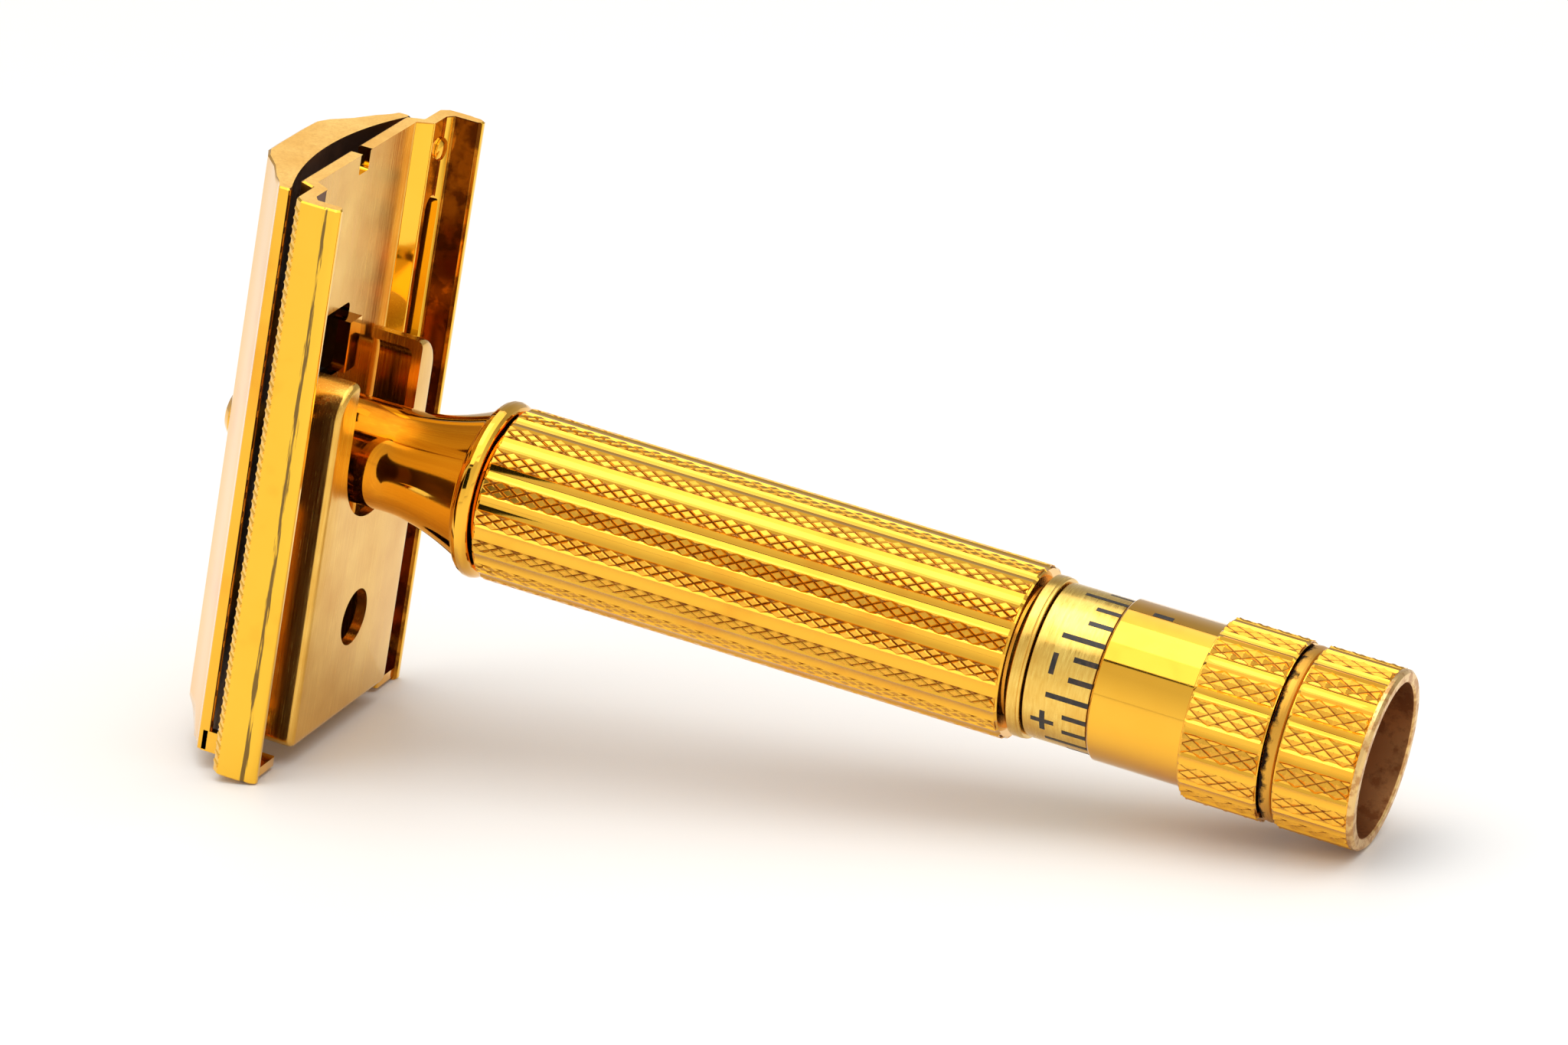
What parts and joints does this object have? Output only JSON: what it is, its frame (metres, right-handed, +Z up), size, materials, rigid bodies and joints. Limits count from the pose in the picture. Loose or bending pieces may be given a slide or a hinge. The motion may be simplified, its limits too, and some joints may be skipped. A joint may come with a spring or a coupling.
{
  "type": "safety razor",
  "caption": "Adjustable safety razor lying down: thick domed cap over a pressed guard plate and bracket, trumpet neck, knurled grip, scale barrel and hollow turning knob.",
  "frame": {"origin": "middle of the footprint's bounding box, on the surface the razor lies on; it touches that surface with the two lower corners of the guard and with the knob's rim", "axes": "+X from the head towards the knob, +Y across the head from one cutting edge to the other, +Z up off the surface; the handle's axis slopes down towards +X by 11.2 degrees"},
  "size_m": [0.0888, 0.025, 0.0438],
  "materials": {
    "bright_gold": "polished gold plate with fine wear scratches",
    "knurled_gold": "gold plate over cross-cut knurling, darker in the grooves",
    "brushed_gold": "brushed pale gold plate",
    "bronze": "plain turned bronze",
    "steel": "bare steel"
  },
  "bodies": {
    "handle": {"guard_plate": "bright_gold", "head_bracket": "brushed_gold", "guard_rivet": "bright_gold", "neck": "bright_gold", "grip_tube": "knurled_gold", "lower_collar": "bright_gold", "scale_barrel": "brushed_gold", "upper_bush": "bronze", "lower_bush": "bronze"},
    "cap": {"cap": "bright_gold", "cap_stud": "bright_gold", "locating_pin": "bright_gold", "locating_lug": "bright_gold"},
    "knob": {"adjusting_knob": "knurled_gold", "groove_ring": "bronze", "drive_spindle": "steel", "threaded_socket": "bronze", "cross_pin": "steel", "tension_spring": "steel", "spring_seat": "bronze", "spring_clip": "steel", "thrust_washer": "bronze", "knob_screw": "steel", "knob_washer": "steel"}
  },
  "joints": [
    {"name": "knob_turn", "type": "hinge", "parent": "handle", "child": "knob", "pos_m": [0.0431, 0, 0.00633], "axis": [0.9809, 0, -0.1948], "range_deg": [-108, 2160]},
    {"name": "cap_lift", "type": "slide", "parent": "handle", "child": "cap", "axis": [-0.9809, 0, 0.1948], "range_m": [-0.0003, 0.0065]}
  ],
  "couplings": [
    {"joint": "cap_lift", "follows": "knob_turn", "m_per_rad": 0.00015915}
  ]
}
